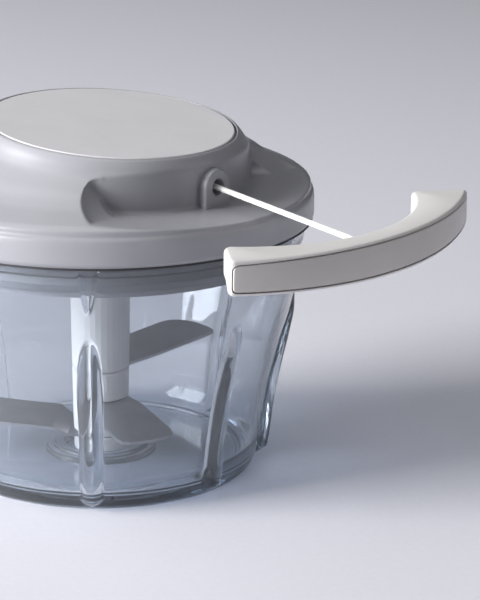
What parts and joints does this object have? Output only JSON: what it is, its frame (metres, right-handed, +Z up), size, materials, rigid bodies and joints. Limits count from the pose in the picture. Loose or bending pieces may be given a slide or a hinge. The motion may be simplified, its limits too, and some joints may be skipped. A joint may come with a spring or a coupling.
{
  "type": "pull-cord food chopper",
  "caption": "Hand-powered food chopper: a clear ribbed bowl, a stacked blade tower turning on a pin, and a domed lid whose cord reel spins the blades when its curved handle is pulled.",
  "frame": {"origin": "on the bowl's axis, at the plane that its foot ring stands on; the mount underside is the flat underside of the bowl's floor, 0.8 mm above it", "axes": "+Z up along the bowl's axis; +X the way the handle is pulled; +Y completes the frame"},
  "size_m": [0.1955, 0.1426, 0.1212],
  "materials": {
    "clear_san": "clear, slightly blue-grey, glossy moulded SAN",
    "grey_abs": "satin mid grey ABS",
    "pale_disc": "fine satin light grey",
    "tower_abs": "satin light warm grey ABS",
    "handle_abs": "satin off-white ABS",
    "insert_tpe": "soft satin warm grey",
    "blade_steel": "matte stainless sheet with a ground edge",
    "pin_steel": "bright turned steel",
    "spring_steel": "blued spring strip",
    "silicone": "matte silicone",
    "acetal": "smooth natural acetal",
    "cord_nylon": "fine braided white nylon"
  },
  "bodies": {
    "bowl": {"bowl": "clear_san", "pivot_pin": "pin_steel"},
    "lid": {"lid_shell": "grey_abs", "lid_disc": "pale_disc", "lid_base": "grey_abs", "lid_seal": "silicone", "base_screw_1": "pin_steel", "base_screw_2": "pin_steel", "base_screw_3": "pin_steel", "spring_cup": "grey_abs", "recoil_spring": "spring_steel", "cord_eyelet": "acetal", "reel_axle": "pin_steel", "axle_washer": "pin_steel", "cord": "cord_nylon"},
    "handle": {"handle_body": "handle_abs", "handle_insert": "insert_tpe", "cord_knot": "cord_nylon"},
    "reel": {"reel": "acetal", "cord_winding": "cord_nylon", "drive_hub": "acetal"},
    "blades": {"blade_shaft": "tower_abs", "upper_spacer": "tower_abs", "lower_spacer": "tower_abs", "shaft_foot": "tower_abs", "shaft_bush": "acetal", "drive_spindle": "pin_steel", "upper_blade": "blade_steel", "middle_blade": "blade_steel", "lower_blade": "blade_steel"}
  },
  "joints": [
    {"name": "lid_lift", "type": "slide", "parent": "bowl", "child": "lid", "axis": [0, 0, 1], "range_m": [0, 0.1]},
    {"name": "handle_pull", "type": "slide", "parent": "lid", "child": "handle", "axis": [0.988, 0, -0.1541], "range_m": [-0.057, 0.3], "stiffness_N_per_m": 20, "springref_m": -0.3, "deforming": ["cord"]},
    {"name": "reel_spin", "type": "hinge", "parent": "lid", "child": "reel", "pos_m": [0, 0, 0.1], "axis": [0, 0, 1], "range_deg": [-195, 1005]},
    {"name": "blade_spin", "type": "hinge", "parent": "bowl", "child": "blades", "pos_m": [0, 0, 0.03], "axis": [0, 0, 1], "range_deg": [-195, 1005]}
  ],
  "couplings": [
    {"joint": "reel_spin", "follows": "handle_pull", "rad_per_m": 58.14},
    {"joint": "blade_spin", "follows": "handle_pull", "rad_per_m": 58.14}
  ]
}
